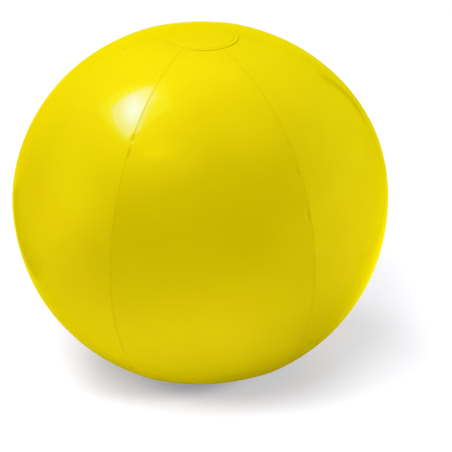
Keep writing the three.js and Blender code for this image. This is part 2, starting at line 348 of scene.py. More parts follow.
# A small card in front, whose lower edge shows under the softbox as a faint soft patch
REFLECTOR_TOWARDS = (212, 57)
REFLECTOR_DISTANCE = 1.3
REFLECTOR = ((-0.16, -0.20), (0.24, -0.07), (0.24, 0.10), (-0.16, 0.02))
REFLECTOR_TINT = (1.0, 1.0, 0.2)
REFLECTOR_GLOW = 0.85
REFLECTOR_REACH = 0.16

# Dark edges and a dark sheet that the ball mirrors at its right and left. A darkness is a direction,
# two places along it and the share of black at each.
CARD_BLACK = 0.02
CARD_LIFT = 0.0005
SHEET_EDGE = ((1.04, 1.66), (0.41, 0.47), (0.29, 0.166), (0.30, 0.02), (0.37, -0.11), (0.44, -0.18))
SHEET_EDGE_STEPS = 6
SHEET_EDGE_WIDTH = 0.024
SHEET_EDGE_DARKNESS = ((0, 1, 0), (-0.2, 0.6), (0.15, 0.75))
BACKDROP_EDGE_HEIGHT = 0.65
BACKDROP_EDGE_WIDTH = 0.05
BACKDROP_EDGE_DARKNESS = ((0, 0, 1), (0.0, 0.65), (0.6, 0.4))
DARK_SHEET = (
    (-0.21, 0.05), (-0.205, 0.10), (-0.215, 0.18), (-0.30, 0.33),
    (-0.60, 0.50), (-0.60, -0.03), (-0.36, -0.03),
)
DARK_SHEET_DARKNESS = ((-1, -0.5, 0), (0.15, 0.33), (0.55, 0.0))

# Lamps: azimuth and elevation in degrees, diameter in metres, and level
BALL_LAMP_DISTANCE = 1.5
BALL_LAMPS = (
    ("key_lamp", 200, 51, 0.8, 0.38),
    ("softbox_lamp", 295, 60, 1.0, 0.19),
)
FLOOR_LAMP_DISTANCE = 3.0
FLOOR_LAMPS = (
    ("front_floor_lamp", 200, 55, 2.0, 0.47),
    ("back_floor_lamp", 312, 55, 1.3, 0.42),
    ("right_floor_lamp", 124, 28, 0.8, 0.95),
    ("left_floor_lamp", 240, 35, 1.0, 0.53),
    ("rear_floor_lamp", 20, 40, 2.0, 0.28),
)

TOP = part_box("top_disc")[1].z
CENTRE = Vector((0, 0, TOP - (EQUATOR_RADIUS - POLE_DROP + CAD_DISC_RISE) * MM))
SOLVING_STEPS = 12
draw = np.random.RandomState(28)


# Node helpers

def new_material(name):
    material = bpy.data.materials.new(name)
    material.use_nodes = True
    tree = material.node_tree
    shader = tree.nodes["Principled BSDF"]
    return material, tree, shader


def bare_material(name):
    """A material that has no shader yet."""
    material, tree, shader = new_material(name)
    tree.nodes.remove(shader)
    return material, tree


def add_node(tree, kind, **values):
    node = tree.nodes.new(kind)
    for name, value in values.items():
        setattr(node, name, value)
    return node


def feed(tree, socket, value):
    """Sets a socket to a number, or links it to another node's output."""
    if isinstance(value, (int, float)):
        socket.default_value = value
    else:
        tree.links.new(value, socket)


def noise(tree, scale, detail=3.0, roughness=0.5):
    place = add_node(tree, "ShaderNodeTexCoord")
    texture = add_node(tree, "ShaderNodeTexNoise")
    texture.inputs["Scale"].default_value = scale
    texture.inputs["Detail"].default_value = detail
    texture.inputs["Roughness"].default_value = roughness
    tree.links.new(place.outputs["Object"], texture.inputs["Vector"])
    return texture.outputs["Fac"]


def ranged(tree, value, low, high, start=0.0, end=1.0):
    """Low up to the start, high from the end on, and evenly between them."""
    node = add_node(tree, "ShaderNodeMapRange")
    node.inputs["From Min"].default_value = start
    node.inputs["From Max"].default_value = end
    node.inputs["To Min"].default_value = low
    node.inputs["To Max"].default_value = high
    tree.links.new(value, node.inputs["Value"])
    return node.outputs["Result"]


def calculated(tree, operation, first, second):
    node = add_node(tree, "ShaderNodeMath", operation=operation)
    feed(tree, node.inputs[0], first)
    feed(tree, node.inputs[1], second)
    return node.outputs["Value"]


def vector_calculated(tree, operation, first, second=None, result="Vector"):
    """A sum on vectors, whose second one is fixed."""
    node = add_node(tree, "ShaderNodeVectorMath", operation=operation)
    tree.links.new(first, node.inputs[0])
    if second is not None:
        node.inputs[1].default_value = second
    return node.outputs[result]


def exponential(tree, value, reach):
    """e to the power of value / reach."""
    return calculated(tree, "POWER", math.e, calculated(tree, "DIVIDE", value, reach))


def scaled_square(tree, value, reach):
    scaled = calculated(tree, "DIVIDE", value, reach)
    return calculated(tree, "MULTIPLY", scaled, scaled)


def bell_node(tree, squares):
    """e to the power of minus the squares."""
    return calculated(tree, "POWER", math.e, calculated(tree, "MULTIPLY", squares, -1.0))


def blended(tree, factor, first, second):
    node = add_node(tree, "ShaderNodeMix", data_type="FLOAT")
    tree.links.new(factor, node.inputs["Factor"])
    feed(tree, node.inputs["A"], first)
    feed(tree, node.inputs["B"], second)
    return node.outputs["Result"]


def blended_colour(tree, factor, first, second):
    node = add_node(tree, "ShaderNodeMix", data_type="RGBA")
    tree.links.new(factor, node.inputs["Factor"])
    node.inputs["A"].default_value = (*first, 1)
    node.inputs["B"].default_value = (*second, 1)
    return node.outputs["Result"]


def emitted(tree, colour, strength):
    glow = add_node(tree, "ShaderNodeEmission")
    glow.inputs["Color"].default_value = (*colour, 1)
    feed(tree, glow.inputs["Strength"], strength)
    return glow.outputs["Emission"]


def matt_grey(tree, share):
    """A matt surface that sends back this share of the light."""
    diffuse = add_node(tree, "ShaderNodeBsdfDiffuse")
    diffuse.inputs["Color"].default_value = (share, share, share, 1)
    return diffuse.outputs["BSDF"]


def added(tree, first, second):
    both = add_node(tree, "ShaderNodeAddShader")
    tree.links.new(first, both.inputs[0])
    tree.links.new(second, both.inputs[1])
    return both.outputs["Shader"]


def chosen(tree, factor, first, second):
    mix = add_node(tree, "ShaderNodeMixShader")
    tree.links.new(factor, mix.inputs["Fac"])
    tree.links.new(first, mix.inputs[1])
    tree.links.new(second, mix.inputs[2])
    return mix.outputs["Shader"]


def bumped(tree, shader, height, distance):
    node = add_node(tree, "ShaderNodeBump")
    node.inputs["Distance"].default_value = distance
    tree.links.new(height, node.inputs["Height"])
    tree.links.new(node.outputs["Normal"], shader.inputs["Normal"])


# Materials

def film_material():
    """Film whose mesh says where painted shade deepens its colour and where a weld dulls its gloss."""
    material, tree, shader = new_material("yellow_film")
    weld = add_node(tree, "ShaderNodeAttribute", attribute_name="weld").outputs["Fac"]
    painted_shade = add_node(tree, "ShaderNodeAttribute", attribute_name="painted_shade").outputs["Fac"]
    clouds = ranged(tree, noise(tree, *FILM_CLOUD_NOISE), 0.0, FILM_CLOUDS, *FILM_CLOUD_EDGES)
    # Random clouds and painted shade both draw the colour towards the deeper yellow
    colour = blended_colour(tree, calculated(tree, "ADD", clouds, painted_shade), FILM_YELLOW, FILM_DEEP_TONE_AND_SHADE)
    tree.links.new(colour, shader.inputs["Base Color"])
    haze = ranged(tree, noise(tree, *FILM_HAZE_NOISE), *FILM_ROUGHNESS, *FILM_HAZE_EDGES)
    dulled = calculated(tree, "MULTIPLY", weld, FILM_WELD_ROUGHNESS)
    tree.links.new(calculated(tree, "ADD", haze, dulled), shader.inputs["Roughness"])
    shader.inputs["Metallic"].default_value = FILM_TINTED_GLOSS
    shader.inputs["Specular IOR Level"].default_value = 0.0
    shader.inputs["Specular Tint"].default_value = (1, 1, 0, 1)
    facing = add_node(tree, "ShaderNodeLayerWeight").outputs["Facing"]
    coat = ranged(tree, facing, FILM_COAT, 0.0, *FILM_COAT_FADE)
    undulled = calculated(tree, "SUBTRACT", 1.0, weld)
    tree.links.new(calculated(tree, "MULTIPLY", coat, undulled), shader.inputs["Coat Weight"])
    shader.inputs["Coat Roughness"].default_value = FILM_COAT_ROUGHNESS
    bumped(tree, shader, noise(tree, *FILM_GRAIN_NOISE), FILM_GRAIN * MM)
    return material


def vinyl_material(name, colours, roughness, scales, grain):
    """Soft vinyl with faint clouds, an uneven gloss and a fine grain."""
    material, tree, shader = new_material(name)
    clouds, haze, grains = (noise(tree, scale) for scale in scales)
    tree.links.new(blended_colour(tree, clouds, *colours), shader.inputs["Base Color"])
    tree.links.new(ranged(tree, haze, *roughness), shader.inputs["Roughness"])
    bumped(tree, shader, grains, grain * MM)
    return material, shader


def valve_material():
    material, shader = vinyl_material(
        "milky_vinyl", VALVE_COLOURS, VALVE_ROUGHNESS, VALVE_SCALES, VALVE_GRAIN)
    shader.inputs["Specular IOR Level"].default_value = VALVE_SPECULAR
    shader.inputs["Subsurface Weight"].default_value = VALVE_SUBSURFACE
    shader.inputs["Subsurface Radius"].default_value = VALVE_SCATTER
    shader.inputs["Subsurface Scale"].default_value = VALVE_SCATTER_DEPTH * MM
    return material


def flap_material():
    return vinyl_material("clear_vinyl", FLAP_COLOURS, FLAP_ROUGHNESS, FLAP_SCALES, FLAP_GRAIN)[0]


MATERIALS = {"film": film_material(), "valve": valve_material(), "flap": flap_material()}


# Mesh helpers

def mesh_piece(name, points, faces, slot):
    mesh = bpy.data.meshes.new(name)
    mesh.from_pydata([tuple(p) for p in points], [], faces)
    mesh.validate()
    mesh.update()
    for polygon in mesh.polygons:
        polygon.use_smooth = True
    mesh.materials.append(MATERIALS[slot])
    piece = bpy.data.objects.new(name, mesh)
    bpy.context.scene.collection.objects.link(piece)
    return piece


def give_attribute(piece, name, values):
    attribute = piece.data.attributes.new(name, "FLOAT", "POINT")
    attribute.data.foreach_set("value", np.asarray(values, np.float32))


def apply_modifiers(piece):
    """Makes the piece's modifiers part of its mesh."""
    graph = bpy.context.evaluated_depsgraph_get()
    mesh = bpy.data.meshes.new_from_object(piece.evaluated_get(graph))
    old = piece.data
    piece.modifiers.clear()
    piece.data = mesh
    mesh.name = old.name


def thicken(piece, thickness):
    """Gives a sheet its thickness, inwards."""
    modifier = piece.modifiers.new("thickness", "SOLIDIFY")
    modifier.thickness = thickness * MM
    modifier.offset = -1
    modifier.use_rim = True
    apply_modifiers(piece)


def outward_faces(piece):
    work = bmesh.new()
    work.from_mesh(piece.data)
    bmesh.ops.recalc_face_normals(work, faces=work.faces)
    work.to_mesh(piece.data)
    work.free()


def grid_faces(rows, columns, closed=False):
    faces = []
    span = columns if closed else columns - 1
    for row in range(rows - 1):
        for column in range(span):
            a = row * columns + column
            b = row * columns + (column + 1) % columns
            faces.append((a, a + columns, b + columns, b))
    return faces


def disc_faces(rings, sides):
    """Faces from a middle point, which is the first, out through rings of points."""
    faces = [(0, 1 + side, 1 + (side + 1) % sides) for side in range(sides)]
    return faces + [tuple(1 + corner for corner in face) for face in grid_faces(rings, sides, True)]


def corner_arc(before, corner, after, radius, steps):
    """Points of the arc that rounds a profile's corner."""
    before, corner, after = (np.array(point, float) for point in (before, corner, after))
    back, ahead = before - corner, after - corner
    reach = min(radius, CORNER_SHARE * np.linalg.norm(back), CORNER_SHARE * np.linalg.norm(ahead))
    start = corner + back / np.linalg.norm(back) * reach
    end = corner + ahead / np.linalg.norm(ahead) * reach
    found = []
    for step in range(steps + 1):
        t = step / steps
        found.append((1 - t) ** 2 * start + 2 * t * (1 - t) * corner + t ** 2 * end)
    return found


def rounded(profile, radius, steps=ROUNDING_STEPS):
    """The closed profile with an arc for each corner."""
    found = []
    for index, corner in enumerate(profile):
        after = profile[(index + 1) % len(profile)]
        found += corner_arc(profile[index - 1], corner, after, radius, steps)
    return found


def open_rounded(profile, radius):
    """The open profile between its two ends, with an arc for each corner."""
    found = []
    for before, corner, after in zip(profile, profile[1:], profile[2:]):
        found += corner_arc(before, corner, after, radius, ROUNDING_STEPS)
    return found


def smooth_route(route, steps):
    """Points along a curve through the route's points."""
    route = [np.array(p, float) for p in route]
    padded = [2 * route[0] - route[1]] + route + [2 * route[-1] - route[-2]]
    found = []
    for a, b, c, d in zip(padded, padded[1:], padded[2:], padded[3:]):
        for step in range(steps):
            t = step / steps
            found.append(0.5 * (2 * b + (c - a) * t + (2 * a - 5 * b + 4 * c - d) * t ** 2
                                + (3 * b - a - 3 * c + d) * t ** 3))
    found.append(route[-1])
    return found


def sideways(route, index):
    """The unit direction across a flat route at one of its points."""
    ahead = route[min(index + 1, len(route) - 1)] - route[max(index - 1, 0)]
    return np.array([-ahead[1], ahead[0]]) / np.linalg.norm(ahead)


# The skin

def mean_radius(colatitude):
    """The skin's distance from the ball's centre without its creases."""
    return EQUATOR_RADIUS - POLE_DROP * np.cos(colatitude) ** 4


def skin_radius(colatitude, local_azimuth):
    """The skin's distance from the ball's centre: flat panels that meet in a crease."""
    arched = 2 * (local_azimuth / HALF_PANEL) ** 2 - 1
    return mean_radius(colatitude) + SEAM_RIDGE * arched * np.sin(colatitude) ** 2


def directions(colatitude, azimuth):
    out = np.sin(colatitude)
    return np.stack([out * np.sin(azimuth), -out * np.cos(azimuth), np.cos(colatitude)], -1)


def placed(colatitude, azimuth, radius):
    """World points in metres."""
    return np.array(CENTRE) + directions(colatitude, azimuth) * (radius * MM)[..., None]


def colatitude_at(axis_distance):
    """The colatitude at which the skin is this far from the polar axis."""
    colatitude = axis_distance / EQUATOR_RADIUS
    for _ in range(SOLVING_STEPS):
        colatitude = np.arcsin(axis_distance / mean_radius(colatitude))
    return colatitude


def bell(value, width):
    return np.exp(-((value / width) ** 2))


def other_puckers():
    found = []
    for seam in range(PANELS):
        seen = seam in SEEN_SEAMS
        for _ in range(SEEN_SEAM_COUNT if seen else OTHER_SEAM_COUNT):
            side = draw.choice((-1, 1))
            colatitude = draw.uniform(*PUCKER_COLATITUDES)
            away = draw.uniform(*PUCKER_DISTANCES)
            length = draw.uniform(*PUCKER_LENGTHS)
            width = draw.uniform(*PUCKER_WIDTHS)
            depth = draw.uniform(*(SEEN_SEAM_DEPTHS if seen else OTHER_SEAM_DEPTHS))
            found.append((seam, side, colatitude, away, length, width, depth))
    return found


PUCKERS = SEEN_PUCKERS + tuple(other_puckers())
GATHER_PHASES = draw.uniform(0, 2 * math.pi, (PANELS, len(GATHER_PITCHES)))


def pucker_depth(puckers, colatitude, distance, seam, side, share=1.0):
    """How deep the puckers are on one side of a seam, each as wide as the given share of it."""
    along = colatitude * EQUATOR_RADIUS
    total = np.zeros_like(distance)
    for number, where, at, away, length, width, depth in puckers:
        if number == seam and where == side:
            across = bell(distance - away, share * width)
            total += depth * across * bell(along - math.radians(at) * EQUATOR_RADIUS, length)
    return total


def seam_relief(colatitude, distance, seam, side):
    """How far the film stands out near a seam, from its puckers and its fine gathers."""
    along = colatitude * EQUATOR_RADIUS
    wave = sum(np.sin(along / pitch + phase) for pitch, phase in zip(GATHER_PITCHES, GATHER_PHASES[seam]))
    gathers = GATHER_HEIGHT * wave * np.exp(-distance / GATHER_REACH)
    return gathers - pucker_depth(PUCKERS, colatitude, distance, seam, side)


def slack(colatitude, azimuth):
    """The gentle unevenness of soft film."""
    first, second, third = (
        height * np.sin(around * azimuth + down * colatitude + phase)
        for height, around, down, phase in SLACK_WAVES
    )
    beat = np.sin(SLACK_BEATS * colatitude + SLACK_BEAT_PHASE)
    return (first * beat + second + third) * np.sin(colatitude) ** 2


def shoulder(axis_distance):
    """The panels dip a little where the end disc's rim is pressed into them."""
    return -SHOULDER_DEPTH * bell(axis_distance - DISC_RADIUS - SHOULDER_OFFSET, SHOULDER_WIDTH)


def pressed_flat(points):
    """Nothing reaches below the floor: the foot is pressed flat."""
    points[..., 2] = np.maximum(points[..., 2], 0)
    return points


# Panels

def panel_rows():
    """Colatitudes of a panel's rows, close together at the discs' rims."""
    end = colatitude_at(PANEL_END_RADIUS)
    fine_start = colatitude_at(DISC_RADIUS - FINE_INSIDE_RIM)
    fine_end = colatitude_at(DISC_RADIUS + FINE_OUTSIDE_RIM)
    under = np.linspace(end, fine_start, ROWS_UNDER_DISC)[:-1]
    fine_count = int((fine_end - fine_start) * EQUATOR_RADIUS / FINE_PITCH)
    fine = np.linspace(fine_start, fine_end, fine_count)[:-1]
    half_count = int((math.pi / 2 - fine_end) * EQUATOR_RADIUS / ROW_PITCH)
    half = np.linspace(fine_end, math.pi / 2, half_count + 1)
    top = np.concatenate([under, fine, half])
    return np.concatenate([top, math.pi - top[-2::-1]])


def edge_profile():
    """Distance from the seam's plane and depth under the skin, from the fin's tip to the face."""
    found = [(FOLD_GAP, FIN_DEPTH), (FOLD_GAP, FIN_DEPTH / 2)]
    for step in range(FOLD_STEPS, -1, -1):
        angle = math.pi / 2 * step / FOLD_STEPS
        away = FOLD_GAP + FOLD_RADIUS * (1 - math.sin(angle))
        found.append((away, FOLD_RADIUS * (1 - math.cos(angle))))
    return np.array(found + [(distance, 0) for distance in EDGE_DISTANCES])


def panel_row(number, colatitude, edge):
    """A panel's outer face and two fins at one colatitude: points, weld, and painted shade that deepens its
    colour.
    """
    seam_radius = float(skin_radius(colatitude, HALF_PANEL))
    reach = seam_radius * math.sin(colatitude)
    half_width = reach * HALF_PANEL
    last = EDGE_DISTANCES[-1]
    inner = np.linspace(last, 2 * half_width - last, MIDDLE_COLUMNS)[1:-1]
    away = np.concatenate([edge[:, 0], inner, 2 * half_width - edge[::-1, 0]])
    depth = np.concatenate([edge[:, 1], np.zeros(len(inner)), edge[::-1, 1]])
    local = away / reach - HALF_PANEL
    azimuth = local + PANEL_TURN + 2 * HALF_PANEL * number
    row = np.full_like(local, colatitude)
    left = np.minimum(away, half_width)
    right = np.minimum(2 * half_width - away, half_width)
    before = (number - 1) % PANELS
    radius = np.where(depth > 0, seam_radius, skin_radius(colatitude, local))
    radius = radius + seam_relief(row, left, before, 1) * (left < half_width)
    radius = radius + seam_relief(row, right, number, -1) * (right < half_width)
    radius = radius + slack(row, azimuth) + shoulder(reach) - depth
    # Painted shade in the creases of the sunk puckers
    crease_shade = pucker_depth(SHADED_CREASES, row, left, before, 1, CREASE_SHARE) * (left < half_width)
    crease_shade += pucker_depth(SHADED_CREASES, row, right, number, -1, CREASE_SHARE) * (right < half_width)
    seam_distance = np.minimum(left, right)
    weld = WELD_DULLNESS * bell(seam_distance, WELD_WIDTH)
    # Painted shade that deepens the colour along the seam's fold and in those creases
    painted_shade = np.clip(SEAM_PAINTED_SHADE * bell(seam_distance, SEAM_PAINTED_SHADE_WIDTH) + CREASE_PAINTED_SHADE * crease_shade, 0, 1)
    return placed(row, azimuth, radius), weld, painted_shade


def panel(number):
    edge = edge_profile()
    rows = [panel_row(number, colatitude, edge) for colatitude in panel_rows()]
    points, weld, painted_shade = (np.array(part) for part in zip(*rows))
    points = pressed_flat(points)
    faces = grid_faces(*points.shape[:2])
    piece = mesh_piece(f"film_panel_{number + 1}", points.reshape(-1, 3), faces, "film")
    give_attribute(piece, "weld", weld.ravel())
    give_attribute(piece, "painted_shade", painted_shade.ravel())
    thicken(piece, FILM)
    if number == VALVE_PANEL:
        cut_valve_hole(piece)
    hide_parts(f"gore_{number + 1}")
    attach(piece, "ball")


def cut_valve_hole(piece):
    """A clean round hole through the film, under the valve's flange."""
    bpy.ops.mesh.primitive_cylinder_add(vertices=VALVE_SIDES, radius=1, depth=2)
    cutter = bpy.context.object
    radius = VALVE_HOLE_RADIUS + HOLE_PLAY
    cutter.matrix_world = VALVE @ Matrix.Diagonal((radius, radius, CUTTER_REACH, 1))
    bpy.context.view_layer.update()
    modifier = piece.modifiers.new("valve_hole", "BOOLEAN")
    modifier.object = cutter
    modifier.operation = "DIFFERENCE"
    modifier.solver = "EXACT"
    apply_modifiers(piece)
    bpy.data.objects.remove(cutter)


# End discs

def disc_rings():
    return np.concatenate([
        np.linspace(0, INNER_RINGS_END, INNER_RINGS)[1:],
        np.arange(*MIDDLE_RINGS),
        np.arange(RIM_RINGS_START, DISC_RADIUS - RIM_RINGS_STOP, RIM_RING_PITCH),
        [DISC_RADIUS],
    ])


def waves_round(azimuth, waves, phases):
    parts = zip(waves, phases)
    return sum(height * np.sin(count * azimuth + phase) for (height, count), phase in parts)


def disc_lift(ring, azimuth, uneven):
    """How far the disc stands over the skin: its dome, rim bead, falling edge and weld lines."""
    lift = DISC_LIFT + RIM_BEAD * uneven * bell(ring - RIM_BEAD_AT, RIM_BEAD_WIDTH)
    lift = lift + DOME_RISE * max(0.0, 1 - (ring / DOME_RADIUS) ** 2)
    fall = max(0.0, (ring - DISC_RADIUS + RIM_FALL_WIDTH) / RIM_FALL_WIDTH)
    lift = lift - RIM_FALL * fall ** 2
    lift = lift - WELD_LINE_DEPTH * uneven * bell(ring - WELD_LINE_RADIUS, WELD_LINE_WIDTH)
    second = np.clip(np.sin(azimuth - SECOND_LINE_TURN), 0, 1)
    second_at = ring - WELD_LINE_RADIUS - SECOND_LINE_OFFSET
    return lift - SECOND_LINE_DEPTH * second * bell(second_at, SECOND_LINE_WIDTH)


def end_disc(name, node, upwards):
    """A round patch of film over the panels' ends, with the weld's pressed rings, and painted shade at its
    rim and weld line.
    """
    phases = draw.uniform(0, 2 * math.pi, DISC_PHASES)
    rings = disc_rings()
    azimuth = np.linspace(0, 2 * math.pi, DISC_SIDES, endpoint=False)
    wobble = waves_round(azimuth, RIM_WAVES, phases)
    uneven = 1 + waves_round(azimuth, PRESS_WAVES, phases[len(RIM_WAVES):])
    points = [np.array(CENTRE) + np.array([[0, 0, mean_radius(0.0) + DISC_LIFT + DOME_RISE]]) * MM]
    weld = [np.zeros(1)]
    for ring in rings:
        out = ring + (wobble - DISC_SHRINK) * (ring / DISC_RADIUS) ** 4
        colatitude = colatitude_at(out)
        radius = mean_radius(colatitude) + disc_lift(ring, azimuth, uneven) + slack(colatitude, azimuth)
        points.append(placed(colatitude, azimuth, radius))
        # Painted shade at the rim and on the weld line, which also dulls the gloss there
        line = bell(ring - DISC_RADIUS, RIM_SHADE_WIDTH)
        line = line + LINE_SHADE * bell(ring - WELD_LINE_RADIUS, LINE_SHADE_WIDTH)
        weld.append(np.full(DISC_SIDES, float(line)))
    points = np.concatenate(points)
    if upwards:
        points = points + np.array([TOP_DISC_SHIFT * MM, 0, 0])
    else:
        points = points * np.array([1, -1, -1]) + np.array([0, 0, 2 * CENTRE.z])
        points = pressed_flat(points)
    piece = mesh_piece(name, points, disc_faces(len(rings), DISC_SIDES), "film")
    # The same lines give both the painted shade in the colour and the dulled gloss
    for attribute in ("weld", "painted_shade"):
        give_attribute(piece, attribute, np.concatenate(weld))
    thicken(piece, FILM)
    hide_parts(node)
    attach(piece, "ball")


# The valve

def valve_frame():
    """The valve's own frame on the rear panel, as in the CAD model."""
    step = 1e-3
    colatitude = VALVE_COLATITUDE
    rise = skin_radius(colatitude + step, 0) - skin_radius(colatitude - step, 0)
    lean = math.atan(rise / (2 * step) / skin_radius(colatitude, 0))
    rear = PANEL_TURN + math.pi
    out = Vector(directions(colatitude - lean, rear))
    down = Vector(directions(colatitude - lean + math.pi / 2, rear))
    across = out.cross(down)
    at = Vector(placed(np.array(colatitude), np.array(rear), np.array(skin_radius(colatitude, 0))))
    matrix = Matrix((down, across, out)).transposed().to_4x4()
    return Matrix.Translation(at) @ matrix @ Matrix.Scale(MM, 4)


VALVE = valve_frame()


def valve_point(x, y, z):
    return VALVE @ Vector((x, y, z))


def skin_height(x, y):
    """How far the skin is above the valve's base plane, which is negative off the centre."""
    x, y = np.asarray(x, float), np.asarray(y, float)
    height = np.zeros_like(x)
    matrix = np.array(VALVE)
    for _ in range(SOLVING_STEPS):
        local = np.stack([x, y, height, np.ones_like(x)], -1)
        about = (local @ matrix.T)[..., :3] / MM - np.array(CENTRE) / MM
        length = np.linalg.norm(about, axis=-1)
        colatitude = np.arccos(about[..., 2] / length)
        azimuth = np.arctan2(about[..., 0], -about[..., 1]) - PANEL_TURN - math.pi
        azimuth = (azimuth + math.pi) % (2 * math.pi) - math.pi
        height = height + skin_radius(colatitude, azimuth) - length
    return height


def ring_points(out, height, lay=False):
    """Points round the valve's axis, raised or lowered with the skin if they lay on it."""
    found = []
    for side in range(VALVE_SIDES):
        angle = 2 * math.pi * side / VALVE_SIDES
        x, y = out * math.cos(angle), out * math.sin(angle)
        lift = float(skin_height(x, y)) if lay else 0.0
        found.append(valve_point(x, y, height + lift))
    return found


def turned_ring(name, profile, radius, lay=False):
    """A ring turned about the valve's axis from a closed profile of (radius, height)."""
    section = rounded(profile, radius)
    points = []
    for out, height in section:
        points += ring_points(out, height, lay)
    faces = grid_faces(len(section) + 1, VALVE_SIDES, True)
    faces = [tuple(corner % len(points) for corner in face) for face in faces]
    piece = mesh_piece(name, points, faces, "valve")
    outward_faces(piece)
    return piece


def turned_solid(name, profile, radius):
    """A solid turned about the valve's axis from an open profile that starts and ends on it."""
    section = open_rounded(profile, radius)
    points = [valve_point(0, 0, profile[0][1])]
    for out, height in section:
        points += ring_points(out, height)
    points.append(valve_point(0, 0, profile[-1][1]))
    end = len(points) - 1
    base = end - VALVE_SIDES
    faces = disc_faces(len(section), VALVE_SIDES)
    faces += [(end, base + (side + 1) % VALVE_SIDES, base + side) for side in range(VALVE_SIDES)]
    piece = mesh_piece(name, points, faces, "valve")
    outward_faces(piece)
    return piece


def valve_flange():
    """The moulded ring welded to the skin, with a bead round the hole and pressed weld grooves."""
    top = FLANGE_BASE + FLANGE_THICKNESS
    bead_top = top + BEAD_HEIGHT
    profile = [(VALVE_HOLE_RADIUS, FLANGE_BASE), (VALVE_HOLE_RADIUS, bead_top)]
    profile += [(BEAD_TOP_RADIUS, bead_top), (BEAD_FOOT_RADIUS, top)]
    for groove in range(GROOVES):
        at = FIRST_GROOVE + GROOVE_PITCH * groove
        profile += [(at - GROOVE_HALF_WIDTH, top), (at, top - GROOVE_DEPTH), (at + GROOVE_HALF_WIDTH, top)]
    profile += [(FLANGE_RADIUS - FLANGE_SLOPE, top), (FLANGE_RADIUS, FLANGE_EDGE)]
    profile += [(FLANGE_RADIUS, FLANGE_BASE), (FLANGE_UNDERSIDE, FLANGE_BASE)]
    piece = turned_ring("valve_flange_moulding", profile[::-1], FLANGE_ROUNDING, lay=True)
    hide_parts("valve_flange")
    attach(piece, "ball")


def valve_sleeve():
    """The thin collar from the flange down to the stem's foot, which rolls as the stem slides."""
    outer = list(SLEEVE_FACE)
    inner = [(out - SLEEVE_WALL, height + SLEEVE_WALL_RISE) for out, height in outer[:-1]]
    inner.append(SLEEVE_INNER_FOOT)
    piece = turned_ring("valve_sleeve_collar", outer + inner[::-1], SLEEVE_ROUNDING)
    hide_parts("valve_sleeve")
    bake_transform(piece)


def valve_stem():
    piece = turned_ring("valve_stem_tube", STEM_PROFILE, STEM_ROUNDING)
    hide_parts("valve_stem")
    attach(piece, "stem")


def valve_plug():
    piece = turned_solid("valve_plug_cap", PLUG_PROFILE, PLUG_ROUNDING)
    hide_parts("valve_plug")
    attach(piece, "plug")


def plug_strap():
    """The soft band from the cap's edge, out in a loop and back in to the stem below its lip."""
    route = smooth_route(STRAP_ROUTE, STRAP_STEPS)
    half_width, half_thick = STRAP_WIDTH / 2, STRAP_THICKNESS / 2
    corners = [(-half_width, -half_thick), (half_width, -half_thick),
               (half_width, half_thick), (-half_width, half_thick)]
    outline = rounded(corners, STRAP_ROUNDING, STRAP_ROUNDING_STEPS)
    points = []
    for index, at in enumerate(route):
        side = sideways(route, index)
        for across, off in outline:
            x, z = at + side * off
            points.append(valve_point(x, across, z))
    count = len(outline)
    faces = grid_faces(len(route), count, True)
    faces.append(tuple(range(count)))
    faces.append(tuple(reversed(range(len(points) - count, len(points)))))
    piece = mesh_piece("plug_strap_band", points, faces, "valve")
    outward_faces(piece)
    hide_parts("plug_strap")
    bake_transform(piece)


def flap_outline(inset):
    """The round flap with its tab, in the valve's frame, drawn in from its edge by inset."""
    radius = FLAP_RADIUS - inset
    half_tab = FLAP_TAB_WIDTH / 2 - inset
    corner = math.asin(half_tab / radius)
    outline = [(FLAP_TAB_END + inset, -half_tab)]
    for angle in np.linspace(math.pi + corner, 3 * math.pi - corner, FLAP_SIDES):
        outline.append((radius * math.cos(angle), radius * math.sin(angle)))
    outline.append((FLAP_TAB_END + inset, half_tab))
    return outline


def check_flap():
    """A thin round flap with softened edges, and the tab that it hangs by."""
    layers = (
        (FLAP_ROUNDING, FLAP_LOW),
        (FLAP_BEND, FLAP_LOW + FLAP_BEND),
        (0, FLAP_LOW + FLAP_ROUNDING),
        (0, FLAP_HIGH - FLAP_ROUNDING),
        (FLAP_BEND, FLAP_HIGH - FLAP_BEND),
        (FLAP_ROUNDING, FLAP_HIGH),
    )
    points = []
    for inset, height in layers:
        points += [valve_point(x, y, height) for x, y in flap_outline(inset)]
    count = len(points) // len(layers)
    faces = grid_faces(len(layers), count, True)
    faces.append(tuple(range(count)))
    faces.append(tuple(range(len(points) - count, len(points))))
    piece = mesh_piece("check_flap_disc", points, faces, "flap")
    outward_faces(piece)
    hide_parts("check_flap")
    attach(piece, "flap")


# Camera and lamps

def camera():
    """The photograph's view, turned so that the ball's centre falls on its own pixel."""
    back = Vector((0, -math.cos(VIEW_ELEVATION), math.sin(VIEW_ELEVATION)))
    forward = -back
    right = forward.cross(Vector((0, 0, 1))).normalized()
    upward = right.cross(forward)
    rolled_right = right * math.cos(VIEW_ROLL) + upward * math.sin(VIEW_ROLL)
    rolled_up = upward * math.cos(VIEW_ROLL) - right * math.sin(VIEW_ROLL)
    across = BALL_AT_PIXEL[0] - IMAGE_SIZE / 2
    down = BALL_AT_PIXEL[1] - IMAGE_SIZE / 2
    axis = (forward * FOCAL_PIXELS - rolled_right * across + rolled_up * down).normalized()
    side = (rolled_right - axis * rolled_right.dot(axis)).normalized()
    data = bpy.data.cameras.new("camera")
    data.sensor_fit = "HORIZONTAL"
    data.sensor_width = SENSOR_WIDTH
    data.lens = FOCAL_PIXELS / IMAGE_SIZE * data.sensor_width
    data.clip_start = CLIP_START
    lens = bpy.data.objects.new("camera", data)
    turn = Matrix((side, side.cross(axis), -axis)).transposed().to_4x4()
    lens.matrix_world = Matrix.Translation(CENTRE + back * VIEW_DISTANCE) @ turn
    bpy.context.scene.collection.objects.link(lens)
    bpy.context.scene.camera = lens


